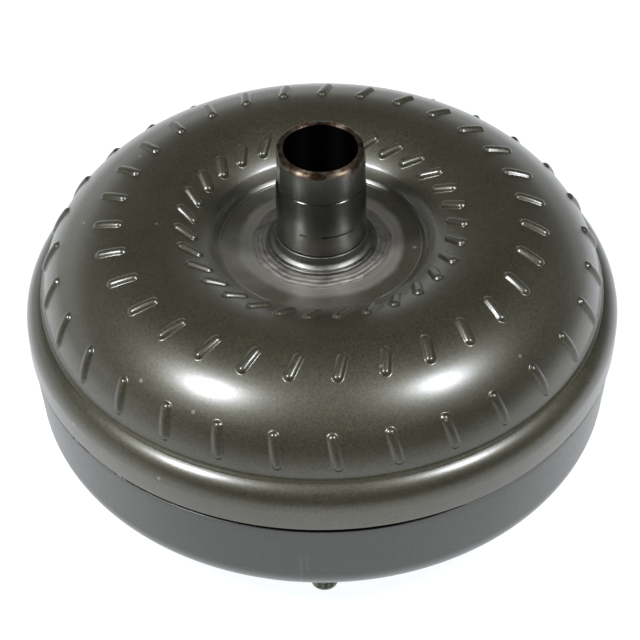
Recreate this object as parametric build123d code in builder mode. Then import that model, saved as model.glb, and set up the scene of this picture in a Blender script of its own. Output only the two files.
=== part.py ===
from build123d import *
import os
from math import atan2, cos, degrees, pi, radians, sin, sqrt

# A lock-up torque converter, standing on its flexplate studs with the impeller hub upwards.
# Z is the axis of rotation and z = 0 is the plane of the stud ends. All sizes are in millimetres.

os.makedirs("parts", exist_ok=True)

# ---- driving dimensions ----
SKIRT_R = 160.4          # widest part of the impeller shell
SHELL_T = 3.4            # impeller shell wall
PLATE_Z = 121.0          # flat ring around the hub
PLATE_EDGE_R = 54.4
TORUS_R = 95.7           # centre circle of the impeller dome
DOME_R = 59.7            # outside radius of the dome's section
DOME_Z = 79.9            # height of the centre of the dome's section
SEAM_Z = 70.3            # lower edge of the impeller skirt
SEAM_GAP = 2.4           # groove between skirt and cover, over the closure weld
MID_Z = 91.2             # plane between impeller and turbine
BLADE_GAP = 1.5          # from that plane to either set of blades
LIP_R = 156.4            # cover lip inside the impeller skirt
COVER_T = 3.4
COVER_Z = 13.4           # outer face of the front cover
COVER_TOP_R = 159.0      # cover wall at the seam
COVER_LOW_R = 156.8      # cover wall at the corner
COVER_CORNER_R = 21.0
JOURNAL_R = 23.8
HUB_BORE_R = 19.3
HUB_TOP_Z = 184.8
FLAT_DIST = 22.2         # from the axis to each pump-drive flat
FLAT_LENGTH = 24.5
FLAT_TURN = 7.0          # direction of the flats, degrees from +X
FOOT_R = 29.4            # hub where it passes through the shell
HUB_FLANGE_R = 41.0
HUB_SPIGOT_R = 22.6      # lower end of the hub tube, inside the hub flange
HUB_FLANGE_Z = 111.0
PILOT_R = 21.6
PILOT_Z = 1.2
STUD_PCD = 266.7
STUD_R = 7.0
STUD_COUNT = 4
STUD_SEAT_R = 9.0
STUD_SEAT_Z = 10.2
IMPELLER_BLADES = 31
TURBINE_BLADES = 29
BLADE_T = 1.0
CORE_R = 27.5            # section radius of both core rings
CORE_CENTRE_R = 109.0
CORE_RISE = 3.2          # from the middle plane to the section centres of the core rings
CORE_T = 1.2
BUMP_W = 4.4             # formed bumps over the blade tabs
BUMP_H = 1.3
TURBINE_T = 2.0
TURBINE_R = 56.7         # outside radius of the turbine shell's section
TURBINE_FLANGE_Z = 65.2  # lower face of the turbine shell's flange
BARREL_R = 26.5          # turbine hub barrel, on which the piston slides
TURBINE_BORE_R = 12.0
HUB_RING_Z = 71.4        # upper face of the turbine hub flange
FRICTION_IN_R = 108.0
FRICTION_OUT_R = 134.0
LINING_T = 1.2
PISTON_Z = 19.0          # lower face of the piston plate, released
PISTON_T = 2.5
SPRING_CIRCLE_R = 84.0
SPRING_R = 8.0
SPRING_WIRE = 3.0
SPRING_COUNT = 6
SPRING_ARC = 38.0        # degrees
SPRING_Z = 33.0
DAMPER_STOP = 5.0        # damper travel each way, degrees
STATOR_BLADES = 13
STATOR_HUB_R = 50.5
STATOR_SHROUD_R = 80.8
SHROUD_T = 2.2
CAM_R = 46.0
RACE_R = 27.5            # outside of the one-way clutch's inner race
RACE_BORE_R = 15.6
ROLLER_R = 3.2
ROLLER_COUNT = 10
CLUTCH_HALF = 9.2        # half length of the one-way clutch
NEEDLE_R = 1.43
NEEDLE_COUNT = 24

SHELL_IN_R = DOME_R - SHELL_T
COVER_FLOOR = COVER_Z + COVER_T
TURBINE_Z = 2 * MID_Z - DOME_Z


def arc_height(centre_r, centre_z, radius, r):
    """Height of the top of a section circle at distance r from the axis."""
    return centre_z + sqrt(radius**2 - (r - centre_r) ** 2)


def ring_section(inner, outer, low, high):
    """Rectangular section of a ring about the axis."""
    with BuildSketch(Plane.XZ) as face:
        with Locations(((inner + outer) / 2, (low + high) / 2)):
            Rectangle(outer - inner, high - low)
    return face.sketch


def polygon_section(*points):
    """Section of a turned part from its corners."""
    with BuildSketch(Plane.XZ) as face:
        with BuildLine():
            Polyline(*points, close=True)
        make_face()
    return face.sketch


def spline_bore(minor, depth, teeth):
    """Outline of an internally splined bore."""
    width = pi * minor / teeth
    with BuildSketch() as outline:
        Circle(minor)
        with PolarLocations(minor + depth / 2 - 0.2, teeth):
            Rectangle(depth + 0.4, width)
    return outline.sketch


def finish(name, label):
    name.part.label = label
    export_step(name.part, f"parts/{label}.step")


# ---- impeller shell ----
# The dome's section is one arc that tightens towards its foot. A fillet, a narrow ledge and a
# rounded shoulder lead from there to the skirt.
DOME_TURN = 42.0         # direction from the section's centre at which the dome tightens, degrees
OUTER_R = 42.0           # section radius beyond that direction
OUTER_TURN = 12.0        # direction at the dome's foot
OUTER_CENTRE = (
    TORUS_R + (DOME_R - OUTER_R) * cos(radians(DOME_TURN)),
    DOME_Z + (DOME_R - OUTER_R) * sin(radians(DOME_TURN)),
)
LEDGE_IN = (151.9, 96.0)
SHOULDER_R = 14.1        # section radius of the shoulder
SHOULDER_TURN = 62.0
SHOULDER_Z = 82.15       # height at which the shoulder runs into the skirt
RAMP_R = 60.0
RAMP_Z = arc_height(TORUS_R, DOME_Z, DOME_R, RAMP_R)
CROWN_Z = DOME_Z + DOME_R
LEDGE_Z = MID_Z - 0.2
EXIT_R = TORUS_R + sqrt(SHELL_IN_R**2 - (LEDGE_Z - DOME_Z) ** 2)
FLAT_IN_Z = PLATE_Z - SHELL_T
FLAT_IN_R = TORUS_R - sqrt(SHELL_IN_R**2 - (FLAT_IN_Z - DOME_Z) ** 2)


def on_arc(centre, radius, turn):
    """Point of a section circle in the given direction, degrees from outwards."""
    return centre[0] + radius * cos(radians(turn)), centre[1] + radius * sin(radians(turn))


def bumps(inner_r, outer_r, inner_turn, outer_turn):
    """Ribs pressed outwards where the blade tabs sit behind the dome: one ring of them."""
    ends = [
        Vector(r, 0).rotate(Axis.Z, turn) for r, turn in ((inner_r, inner_turn), (outer_r, outer_turn))
    ]
    middle = (ends[0] + ends[1]) / 2
    along = ends[1] - ends[0]
    with BuildPart() as rib:
        with BuildSketch(Plane(origin=(middle.X, middle.Y, LEDGE_IN[1]), x_dir=along)):
            SlotCenterToCenter(along.length, BUMP_W)
        extrude(amount=DOME_R)
        add(BUMP_LAYER, mode=Mode.INTERSECT)
    with BuildPart() as ribs:
        with PolarLocations(0, IMPELLER_BLADES):
            add(rib.part)
    return ribs.part


with BuildPart() as bump_layer:
    layer_high, layer_low = BUMP_H, -1.5
    with BuildSketch(Plane.XZ):
        with BuildLine():
            for rise in (layer_high, layer_low):
                CenterArc((TORUS_R, DOME_Z), DOME_R + rise, DOME_TURN, 170 - DOME_TURN)
                CenterArc(OUTER_CENTRE, OUTER_R + rise, OUTER_TURN, DOME_TURN - OUTER_TURN)
            for centre, radius, turn in (
                ((TORUS_R, DOME_Z), DOME_R, 170),
                (OUTER_CENTRE, OUTER_R, OUTER_TURN),
            ):
                Line(*[on_arc(centre, radius + rise, turn) for rise in (layer_high, layer_low)])
        make_face()
    revolve(axis=Axis.Z)
BUMP_LAYER = bump_layer.part

BUMP_RINGS = [            # inner radius, outer radius, inner turn, outer turn
    (68.4, 75.2, 1.6, -2.8),
    (107.4, 117.8, -15.1, -16.8),
    (141.9, 147.0, -18.6, -17.8),
]

with BuildPart() as impeller_shell:
    with BuildSketch(Plane.XZ):
        with BuildLine():
            Polyline(
                (FLAT_IN_R, FLAT_IN_Z),
                (FOOT_R, FLAT_IN_Z),
                (FOOT_R, PLATE_Z),
                (PLATE_EDGE_R, PLATE_Z),
                (PLATE_EDGE_R + 1.2, PLATE_Z - 0.5),
                (RAMP_R, RAMP_Z),
            )
            dome_end = on_arc((TORUS_R, DOME_Z), DOME_R, DOME_TURN)
            foot = on_arc(OUTER_CENTRE, OUTER_R, OUTER_TURN)
            ThreePointArc((RAMP_R, RAMP_Z), (TORUS_R, CROWN_Z), dome_end)
            ThreePointArc(
                dome_end, on_arc(OUTER_CENTRE, OUTER_R, (DOME_TURN + OUTER_TURN) / 2), foot
            )
            shoulder_centre = (SKIRT_R - SHOULDER_R, SHOULDER_Z)
            shoulder_top = on_arc(shoulder_centre, SHOULDER_R, SHOULDER_TURN)
            ThreePointArc(foot, (LEDGE_IN[0] - 1.45, LEDGE_IN[1] + 1.9), LEDGE_IN)
            Line(LEDGE_IN, shoulder_top)
            ThreePointArc(
                shoulder_top, on_arc(shoulder_centre, SHOULDER_R, SHOULDER_TURN / 2), (SKIRT_R, SHOULDER_Z)
            )
            Polyline(
                (SKIRT_R, SHOULDER_Z),
                (SKIRT_R - 0.2, SEAM_Z),
                (LIP_R + 0.1, SEAM_Z),
                (LIP_R + 0.1, LEDGE_Z),
                (EXIT_R, LEDGE_Z),
            )
            ThreePointArc((EXIT_R, LEDGE_Z), (TORUS_R, DOME_Z + SHELL_IN_R), (FLAT_IN_R, FLAT_IN_Z))
        make_face()
    revolve(axis=Axis.Z)
    for ring in BUMP_RINGS:
        add(bumps(*ring))
finish(impeller_shell, "impeller_shell")

# ---- impeller hub: a ground tube whose lower end is pressed into a flange ----
NECK_FOOT_Z = PLATE_Z + 9.6
with BuildPart() as impeller_hub:
    with BuildSketch(Plane.XZ):
        with BuildLine():
            Polyline(
                (HUB_SPIGOT_R, NECK_FOOT_Z + 0.6),
                (HUB_SPIGOT_R, HUB_FLANGE_Z),
                (HUB_BORE_R, HUB_FLANGE_Z),
                (HUB_BORE_R, HUB_TOP_Z - 0.4),
                (HUB_BORE_R + 0.4, HUB_TOP_Z),
                (JOURNAL_R - 2.2, HUB_TOP_Z),
            )
            ThreePointArc(
                (JOURNAL_R - 2.2, HUB_TOP_Z),
                (JOURNAL_R - 0.6, HUB_TOP_Z - 1.0),
                (JOURNAL_R, HUB_TOP_Z - 3.0),
            )
            Polyline(
                (JOURNAL_R, HUB_TOP_Z - 3.0),
                (JOURNAL_R, NECK_FOOT_Z + 0.6),
                (HUB_SPIGOT_R, NECK_FOOT_Z + 0.6),
            )
        make_face()
    revolve(axis=Axis.Z)
    with PolarLocations(FLAT_DIST + JOURNAL_R / 2, 2, start_angle=FLAT_TURN):
        with Locations((0, 0, HUB_TOP_Z)):
            Box(
                JOURNAL_R,
                2 * JOURNAL_R,
                FLAT_LENGTH,
                align=(Align.CENTER, Align.CENTER, Align.MAX),
                mode=Mode.SUBTRACT,
            )
finish(impeller_hub, "impeller_hub")

with BuildPart() as hub_flange:
    with BuildSketch(Plane.XZ):
        with BuildLine():
            Polyline(
                (FOOT_R, PLATE_Z + 2.9),
                (FOOT_R, FLAT_IN_Z),
                (HUB_FLANGE_R, FLAT_IN_Z),
                (HUB_FLANGE_R, HUB_FLANGE_Z),
                (HUB_SPIGOT_R, HUB_FLANGE_Z),
                (HUB_SPIGOT_R, NECK_FOOT_Z),
                (JOURNAL_R, NECK_FOOT_Z),
                (JOURNAL_R + 0.5, NECK_FOOT_Z - 0.5),
                (JOURNAL_R + 0.7, NECK_FOOT_Z - 1.6),
            )
            ThreePointArc(
                (JOURNAL_R + 0.7, NECK_FOOT_Z - 1.6),
                (JOURNAL_R + 2.2, PLATE_Z + 4.6),
                (FOOT_R, PLATE_Z + 2.9),
            )
        make_face()
    revolve(axis=Axis.Z)
finish(hub_flange, "hub_flange")

with BuildPart() as hub_weld:
    with BuildSketch(Plane.XZ):
        with BuildLine():
            ThreePointArc((FOOT_R, PLATE_Z + 2.6), (FOOT_R + 3.4, PLATE_Z + 1.5), (FOOT_R + 7.6, PLATE_Z))
            Polyline((FOOT_R + 7.6, PLATE_Z), (FOOT_R, PLATE_Z), (FOOT_R, PLATE_Z + 2.6))
        make_face()
    revolve(axis=Axis.Z)
finish(hub_weld, "hub_weld")

# ---- front cover ----
with BuildPart() as front_cover:
    corner = COVER_LOW_R - COVER_CORNER_R
    bevel = COVER_CORNER_R * (1 - sqrt(0.5))
    inner_r = COVER_CORNER_R - COVER_T
    inner_bevel = inner_r * (1 - sqrt(0.5))
    wall_in = COVER_LOW_R - COVER_T
    with BuildSketch(Plane.XZ):
        with BuildLine():
            Line((0, COVER_Z), (corner, COVER_Z))
            ThreePointArc(
                (corner, COVER_Z),
                (COVER_LOW_R - bevel, COVER_Z + bevel),
                (COVER_LOW_R, COVER_Z + COVER_CORNER_R),
            )
            Polyline(
                (COVER_LOW_R, COVER_Z + COVER_CORNER_R),
                (COVER_TOP_R, SEAM_Z - SEAM_GAP - 0.6),
                (COVER_TOP_R - 0.6, SEAM_Z - SEAM_GAP),
                (LIP_R, SEAM_Z - SEAM_GAP),
                (LIP_R, LEDGE_Z - 0.3),
                (wall_in, LEDGE_Z - 0.3),
                (wall_in, COVER_Z + COVER_CORNER_R),
            )
            ThreePointArc(
                (wall_in, COVER_Z + COVER_CORNER_R),
                (wall_in - inner_bevel, COVER_FLOOR + inner_bevel),
                (corner, COVER_FLOOR),
            )
            Polyline((corner, COVER_FLOOR), (0, COVER_FLOOR), (0, COVER_Z))
        make_face()
    revolve(axis=Axis.Z)
finish(front_cover, "front_cover")

with BuildPart() as closure_weld:
    revolve(ring_section(LIP_R, COVER_TOP_R - 1.2, SEAM_Z - SEAM_GAP, SEAM_Z), axis=Axis.Z)
finish(closure_weld, "closure_weld")

with BuildPart() as crank_pilot:
    revolve(
        polygon_section(
            (0, COVER_Z),
            (PILOT_R + 4.4, COVER_Z),
            (PILOT_R + 4.4, COVER_Z - 2.2),
            (PILOT_R, COVER_Z - 2.2),
            (PILOT_R, PILOT_Z + 1.5),
            (PILOT_R - 1.5, PILOT_Z),
            (PILOT_R - 7.0, PILOT_Z),
            (PILOT_R - 8.5, COVER_Z - 4.0),
            (0, COVER_Z - 4.0),
        ),
        axis=Axis.Z,
    )
finish(crank_pilot, "crank_pilot")

with BuildPart() as pilot_weld:
    edge = PILOT_R + 4.4
    revolve(polygon_section((edge, COVER_Z), (edge + 2.4, COVER_Z), (edge, COVER_Z - 2.0)), axis=Axis.Z)
finish(pilot_weld, "pilot_weld")

stud_section = polygon_section(
    (0, 0),
    (STUD_R - 0.5, 0),
    (STUD_R, 0.5),
    (STUD_R, STUD_SEAT_Z),
    (STUD_SEAT_R, STUD_SEAT_Z),
    (STUD_SEAT_R, COVER_Z),
    (0, COVER_Z),
)
with BuildPart() as one_stud:
    revolve(stud_section, axis=Axis.Z)
with BuildPart() as flexplate_studs:
    with PolarLocations(STUD_PCD / 2, STUD_COUNT):
        add(one_stud.part)
finish(flexplate_studs, "flexplate_studs")

# ---- blades and core rings ----
SEAT_GAP = 0.1
WEDGE_OUT = (84.0, MID_Z + 9.3)       # the stator's space, seen in section
WEDGE_IN = (48.0, MID_Z + 18.0)


def passage(shell_r, centre_z):
    """Ring between the impeller shell and its core ring, above the stator."""
    with BuildSketch(Plane.XZ) as face:
        with Locations((TORUS_R, centre_z)):
            Circle(shell_r - SEAT_GAP)
        with Locations((CORE_CENTRE_R, MID_Z - CORE_RISE)):
            Circle(CORE_R + SEAT_GAP, mode=Mode.SUBTRACT)
        with BuildLine():
            Polyline(
                WEDGE_IN,
                WEDGE_OUT,
                (96.0, MID_Z + BLADE_GAP),
                (SKIRT_R, MID_Z + BLADE_GAP),
                (SKIRT_R, FLAT_IN_Z + 22),
                (WEDGE_IN[0], FLAT_IN_Z + 22),
                close=True,
            )
        make_face(mode=Mode.INTERSECT)
    with BuildPart() as ring:
        revolve(face.sketch, axis=Axis.Z)
    return ring.part


def blade(plan, room, thickness):
    """Sheet blade: its plan curve raised to full height and trimmed to the passage."""
    with BuildPart() as sheet:
        with BuildSketch(Plane.XY.offset(MID_Z)):
            with BuildLine():
                Spline(*[Vector(r, 0).rotate(Axis.Z, turn) for r, turn in plan])
            trace(line_width=thickness)
        extrude(amount=CROWN_Z - MID_Z)
        add(room, mode=Mode.INTERSECT)
    return sheet.part


def core_section():
    """Thin half ring that closes the middle of the impeller's torus."""
    low = MID_Z + BLADE_GAP
    with BuildSketch(Plane.XZ) as face:
        with Locations((CORE_CENTRE_R, MID_Z - CORE_RISE)):
            Circle(CORE_R)
            Circle(CORE_R - CORE_T, mode=Mode.SUBTRACT)
        with Locations((CORE_CENTRE_R, low)):
            Rectangle(3 * CORE_R, 2 * CORE_R, align=(Align.CENTER, Align.MIN), mode=Mode.INTERSECT)
    return face.sketch


IMPELLER_PLAN = [(55.0, 10.0), (66.4, 3.0), (77.2, -4.3), (105.4, -14.6), (130.0, -18.4), (154.0, -16.8)]
TURBINE_PLAN = [(50.0, 44.0), (66.0, 24.0), (85.0, 9.0), (108.0, 0.0), (130.0, 4.0), (156.0, 16.0)]

with BuildPart() as impeller_blades:
    one_blade = blade(IMPELLER_PLAN, passage(SHELL_IN_R, DOME_Z), BLADE_T)
    with PolarLocations(0, IMPELLER_BLADES):
        add(one_blade)
finish(impeller_blades, "impeller_blades")

with BuildPart() as impeller_core_ring:
    revolve(core_section(), axis=Axis.Z)
finish(impeller_core_ring, "impeller_core_ring")

MIDDLE = Plane.XY.offset(MID_Z)
with BuildPart() as turbine_blades:
    one_blade = blade(TURBINE_PLAN, passage(TURBINE_R - TURBINE_T, DOME_Z), BLADE_T)
    with PolarLocations(0, TURBINE_BLADES):
        add(mirror(one_blade, about=MIDDLE, mode=Mode.PRIVATE))
finish(turbine_blades, "turbine_blades")

with BuildPart() as turbine_core_ring:
    revolve(core_section(), axis=Axis.Z)
    mirror(about=MIDDLE, mode=Mode.REPLACE)
finish(turbine_core_ring, "turbine_core_ring")

# ---- turbine ----
RIVET_CIRCLE_R = 45.5
RIVET_R = 2.6
RIVET_HEAD_R = 4.0
RIVET_COUNT = 12
FLANGE_TOP = TURBINE_FLANGE_Z + TURBINE_T
DRIVEN_T = 2.5
RIVET_HEAD = 1.6         # height of either rivet head
DRIVEN_TOP_Z = TURBINE_FLANGE_Z - DRIVEN_T


def below(r, radius):
    """Height of the underside of the turbine's section circle at distance r."""
    return TURBINE_Z - sqrt(radius**2 - (r - TORUS_R) ** 2)


def bend_r(radius, z):
    """Radius at which the turbine's section circle meets a flat at height z."""
    return TORUS_R - sqrt(radius**2 - (TURBINE_Z - z) ** 2)


TURBINE_IN_R = TURBINE_R - TURBINE_T
TURBINE_LIP_Z = MID_Z - BLADE_GAP
with BuildPart() as turbine_shell:
    lip_out = TORUS_R + sqrt(TURBINE_R**2 - (TURBINE_Z - TURBINE_LIP_Z) ** 2)
    lip_in = TORUS_R + sqrt(TURBINE_IN_R**2 - (TURBINE_Z - TURBINE_LIP_Z) ** 2)
    turn_out = bend_r(TURBINE_R, TURBINE_FLANGE_Z)
    turn_in = bend_r(TURBINE_IN_R, FLANGE_TOP)
    with BuildSketch(Plane.XZ):
        with BuildLine():
            Line((lip_in, TURBINE_LIP_Z), (lip_out, TURBINE_LIP_Z))
            ThreePointArc(
                (lip_out, TURBINE_LIP_Z),
                (TORUS_R, TURBINE_Z - TURBINE_R),
                (turn_out, TURBINE_FLANGE_Z),
            )
            Polyline(
                (turn_out, TURBINE_FLANGE_Z),
                (BARREL_R, TURBINE_FLANGE_Z),
                (BARREL_R, FLANGE_TOP),
                (turn_in, FLANGE_TOP),
            )
            ThreePointArc(
                (turn_in, FLANGE_TOP),
                (TORUS_R, TURBINE_Z - TURBINE_IN_R),
                (lip_in, TURBINE_LIP_Z),
            )
        make_face()
    revolve(axis=Axis.Z)
    with BuildSketch(Plane.XY.offset(TURBINE_FLANGE_Z)):
        with PolarLocations(RIVET_CIRCLE_R, RIVET_COUNT):
            Circle(RIVET_R)
    extrude(amount=TURBINE_T, mode=Mode.SUBTRACT)
finish(turbine_shell, "turbine_shell")

BARREL_Z = COVER_FLOOR + 3.6
SEAL_Z = 24.0
SEAL_T = 2.4
SEAL_IN_R = BARREL_R - 2.0
with BuildPart() as turbine_hub:
    revolve(
        polygon_section(
            (0, BARREL_Z),
            (BARREL_R, BARREL_Z),
            (BARREL_R, SEAL_Z),
            (SEAL_IN_R, SEAL_Z),
            (SEAL_IN_R, SEAL_Z + SEAL_T),
            (BARREL_R, SEAL_Z + SEAL_T),
            (BARREL_R, FLANGE_TOP),
            (RIVET_CIRCLE_R + 4.3, FLANGE_TOP),
            (RIVET_CIRCLE_R + 4.3, HUB_RING_Z),
            (0, HUB_RING_Z),
        ),
        axis=Axis.Z,
    )
    with BuildSketch(Plane.XY.offset(BARREL_Z)):
        add(spline_bore(TURBINE_BORE_R, 0.9, 24))
    extrude(amount=HUB_RING_Z - BARREL_Z, mode=Mode.SUBTRACT)
    with BuildSketch(Plane.XY.offset(FLANGE_TOP)):
        with PolarLocations(RIVET_CIRCLE_R, RIVET_COUNT):
            Circle(RIVET_R)
    extrude(amount=HUB_RING_Z - FLANGE_TOP, mode=Mode.SUBTRACT)
finish(turbine_hub, "turbine_hub")

with BuildPart() as one_rivet:
    revolve(
        polygon_section(
            (0, DRIVEN_TOP_Z - RIVET_HEAD),
            (RIVET_HEAD_R - 1.0, DRIVEN_TOP_Z - RIVET_HEAD),
            (RIVET_HEAD_R, DRIVEN_TOP_Z),
            (RIVET_R, DRIVEN_TOP_Z),
            (RIVET_R, HUB_RING_Z),
            (RIVET_HEAD_R, HUB_RING_Z),
            (RIVET_HEAD_R - 1.0, HUB_RING_Z + RIVET_HEAD),
            (0, HUB_RING_Z + RIVET_HEAD),
        ),
        axis=Axis.Z,
    )
with BuildPart() as turbine_rivets:
    with PolarLocations(RIVET_CIRCLE_R, RIVET_COUNT):
        add(one_rivet.part)
finish(turbine_rivets, "turbine_rivets")

WASHER_Z = COVER_FLOOR + 0.15
WASHER_IN_R = 14.0
OIL_GROOVE = 3.0         # width of the oil grooves across the washer
with BuildPart() as front_thrust_washer:
    revolve(ring_section(WASHER_IN_R, BARREL_R, WASHER_Z, BARREL_Z), axis=Axis.Z)
    with BuildSketch(Plane.XY.offset(WASHER_Z)):
        with PolarLocations((WASHER_IN_R + BARREL_R) / 2, 6):
            Rectangle(BARREL_R - WASHER_IN_R + 4, OIL_GROOVE)
    extrude(amount=0.8, mode=Mode.SUBTRACT)
finish(front_thrust_washer, "front_thrust_washer")

with BuildPart() as piston_seal_ring:
    revolve(ring_section(SEAL_IN_R, BARREL_R + 0.02, SEAL_Z, SEAL_Z + SEAL_T), axis=Axis.Z)
finish(piston_seal_ring, "piston_seal_ring")

# ---- lock-up damper ----
PLATE_T = 2.0
DRIVEN_RIM_R = 96.0
SPACER_CIRCLE_R = 105.0
SPACER_R = 3.5
SPACER_NECK_R = 2.5      # where a spacer passes through either plate
SPACER_HEAD = 0.8
LUG_R = 107.0
LUG_HALF = 4.0
FRONT_PLATE_Z = SPRING_Z - 8.5
REAR_PLATE_Z = SPRING_Z + 6.5
FRONT_PLATE_R = 120.0
REAR_PLATE_R = 112.0
DAMPER_IN_R = 68.0
WINDOW_HALF = 5.4        # half width of the spring windows in the two outer plates
TAB_COUNT = 6
TAB_WIDTH = 14.0
TAB_GAP = 0.3
STOP_GAP = 0.35          # left between lug and spacer at full travel
SPACER_TURN = degrees(atan2(SPACER_R + STOP_GAP, SPACER_CIRCLE_R)) + LUG_HALF + DAMPER_STOP


def spring_windows(half_width):
    """Arc-shaped windows, one for each damper spring."""
    reach = radians(SPRING_ARC / 2)
    near = SPRING_CIRCLE_R - half_width
    far = SPRING_CIRCLE_R + half_width
    left = [(r * cos(reach), r * sin(reach)) for r in (near, far)]
    right = [(r * cos(reach), -r * sin(reach)) for r in (near, far)]
    with BuildSketch() as window:
        with BuildLine():
            ThreePointArc(left[0], (near, 0), right[0])
            ThreePointArc(left[1], (far, 0), right[1])
            Line(left)
            Line(right)
        make_face()
    with BuildSketch() as windows:
        with PolarLocations(0, SPRING_COUNT):
            add(window.sketch)
    return windows.sketch


with BuildPart() as damper_driven_plate:
    revolve(
        polygon_section(
            (BARREL_R, DRIVEN_TOP_Z),
            (50.0, DRIVEN_TOP_Z),
            (60.0, SPRING_Z - 1.5),
            (DRIVEN_RIM_R, SPRING_Z - 1.5),
            (DRIVEN_RIM_R, SPRING_Z + 1.5),
            (62.6, SPRING_Z + 1.5),
            (52.4, TURBINE_FLANGE_Z),
            (BARREL_R, TURBINE_FLANGE_Z),
        ),
        axis=Axis.Z,
    )
    with BuildSketch(Plane.XY.offset(SPRING_Z - 1.5)):
        with PolarLocations((DRIVEN_RIM_R + LUG_R) / 2 - 1, SPRING_COUNT, start_angle=180 / SPRING_COUNT):
            Rectangle(LUG_R - DRIVEN_RIM_R + 2, 2 * LUG_R * sin(radians(LUG_HALF)))
    extrude(amount=3.0)
    with BuildSketch(Plane.XY.offset(SPRING_Z - 1.5)):
        add(spring_windows(SPRING_R + 0.4))
    extrude(amount=3.0, mode=Mode.SUBTRACT)
    with BuildSketch(Plane.XY.offset(DRIVEN_TOP_Z)):
        with PolarLocations(RIVET_CIRCLE_R, RIVET_COUNT):
            Circle(RIVET_R)
    extrude(amount=DRIVEN_T, mode=Mode.SUBTRACT)
finish(damper_driven_plate, "damper_driven_plate")


def spacer_spots():
    """Two spacers beside each stop lug of the driven plate."""
    spots = []
    for lug in range(SPRING_COUNT):
        for side in (-1, 1):
            turn = radians((lug + 0.5) * 360 / SPRING_COUNT + side * SPACER_TURN)
            spots.append((SPACER_CIRCLE_R * cos(turn), SPACER_CIRCLE_R * sin(turn)))
    return spots


def damper_plate(low, outer):
    """Flat plate that holds the springs from one side."""
    with BuildPart() as plate:
        revolve(ring_section(DAMPER_IN_R, outer, low, low + PLATE_T), axis=Axis.Z)
        with BuildSketch(Plane.XY.offset(low)):
            add(spring_windows(WINDOW_HALF))
            with Locations(*spacer_spots()):
                Circle(SPACER_NECK_R)
        extrude(amount=PLATE_T, mode=Mode.SUBTRACT)
    return plate.part


with BuildPart() as damper_front_plate:
    add(damper_plate(FRONT_PLATE_Z, FRONT_PLATE_R))
    with BuildSketch(Plane.XY.offset(FRONT_PLATE_Z)):
        with PolarLocations(FRONT_PLATE_R, TAB_COUNT):
            Rectangle(12.0, TAB_WIDTH + 2 * TAB_GAP)
    extrude(amount=PLATE_T, mode=Mode.SUBTRACT)
finish(damper_front_plate, "damper_front_plate")

with BuildPart() as damper_rear_plate:
    add(damper_plate(REAR_PLATE_Z, REAR_PLATE_R))
finish(damper_rear_plate, "damper_rear_plate")

with BuildPart() as one_spacer:
    revolve(
        polygon_section(
            (0, FRONT_PLATE_Z - SPACER_HEAD),
            (SPACER_R, FRONT_PLATE_Z - SPACER_HEAD),
            (SPACER_R, FRONT_PLATE_Z),
            (SPACER_NECK_R, FRONT_PLATE_Z),
            (SPACER_NECK_R, FRONT_PLATE_Z + PLATE_T),
            (SPACER_R, FRONT_PLATE_Z + PLATE_T),
            (SPACER_R, REAR_PLATE_Z),
            (SPACER_NECK_R, REAR_PLATE_Z),
            (SPACER_NECK_R, REAR_PLATE_Z + PLATE_T),
            (SPACER_R, REAR_PLATE_Z + PLATE_T),
            (SPACER_R, REAR_PLATE_Z + PLATE_T + SPACER_HEAD),
            (0, REAR_PLATE_Z + PLATE_T + SPACER_HEAD),
        ),
        axis=Axis.Z,
    )
with BuildPart() as damper_spacers:
    with Locations(*spacer_spots()):
        add(one_spacer.part)
finish(damper_spacers, "damper_spacers")

with BuildPart() as one_spring:
    with BuildSketch(Plane.XZ.rotated((0, 0, -SPRING_ARC / 2 + 0.2))):
        with Locations((SPRING_CIRCLE_R, SPRING_Z)):
            Circle(SPRING_R)
            Circle(SPRING_R - SPRING_WIRE, mode=Mode.SUBTRACT)
    revolve(axis=Axis.Z, revolution_arc=SPRING_ARC - 0.4)
with BuildPart() as damper_springs:
    with PolarLocations(0, SPRING_COUNT):
        add(one_spring.part)
finish(damper_springs, "damper_springs")

# ---- lock-up piston ----
with BuildPart() as lockup_piston:
    revolve(
        polygon_section(
            (BARREL_R + 0.08, PISTON_Z),
            (FRICTION_OUT_R + 5, PISTON_Z),
            (FRICTION_OUT_R + 5, PISTON_Z + PISTON_T + 3.0),
            (FRICTION_OUT_R + 2.5, PISTON_Z + PISTON_T + 3.0),
            (FRICTION_OUT_R + 2.5, PISTON_Z + PISTON_T),
            (BARREL_R + 4, PISTON_Z + PISTON_T),
            (BARREL_R + 4, PISTON_Z + 10),
            (BARREL_R + 0.08, PISTON_Z + 10),
        ),
        axis=Axis.Z,
    )
    with BuildSketch(Plane.XY.offset(PISTON_Z + PISTON_T)):
        with PolarLocations(FRONT_PLATE_R - 2.5, TAB_COUNT):
            Rectangle(3.0, TAB_WIDTH)
    extrude(amount=6.5)
finish(lockup_piston, "lockup_piston")

with BuildPart() as friction_lining:
    revolve(ring_section(FRICTION_IN_R, FRICTION_OUT_R, PISTON_Z - LINING_T, PISTON_Z), axis=Axis.Z)
finish(friction_lining, "friction_lining")

# ---- stator and its one-way clutch ----
WHEEL_HALF = 14.2
SHROUD_HALF = 7.2
CAP_T = 2.8
SNAP_T = 1.2
BEARING_SEAT = 14.8      # from the middle plane to the inner race of either thrust bearing


def stator_blade():
    """One cast blade: a cambered section, raised outwards from the wheel's hub."""
    with BuildPart() as foil:
        with BuildSketch(Plane.YZ.offset(STATOR_HUB_R - 4)):
            with BuildLine():
                Spline((-7.0, -10.5), (-3.4, -4.0), (1.6, 2.0), (9.5, 9.8))
                Spline((9.5, 9.8), (4.4, 1.2), (0.4, -6.0), (-3.2, -11.8))
                ThreePointArc((-3.2, -11.8), (-6.0, -12.6), (-7.0, -10.5))
            make_face()
        extrude(amount=STATOR_SHROUD_R - STATOR_HUB_R + 2.0)
    return foil.part.moved(Location((0, 0, MID_Z)))


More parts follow.
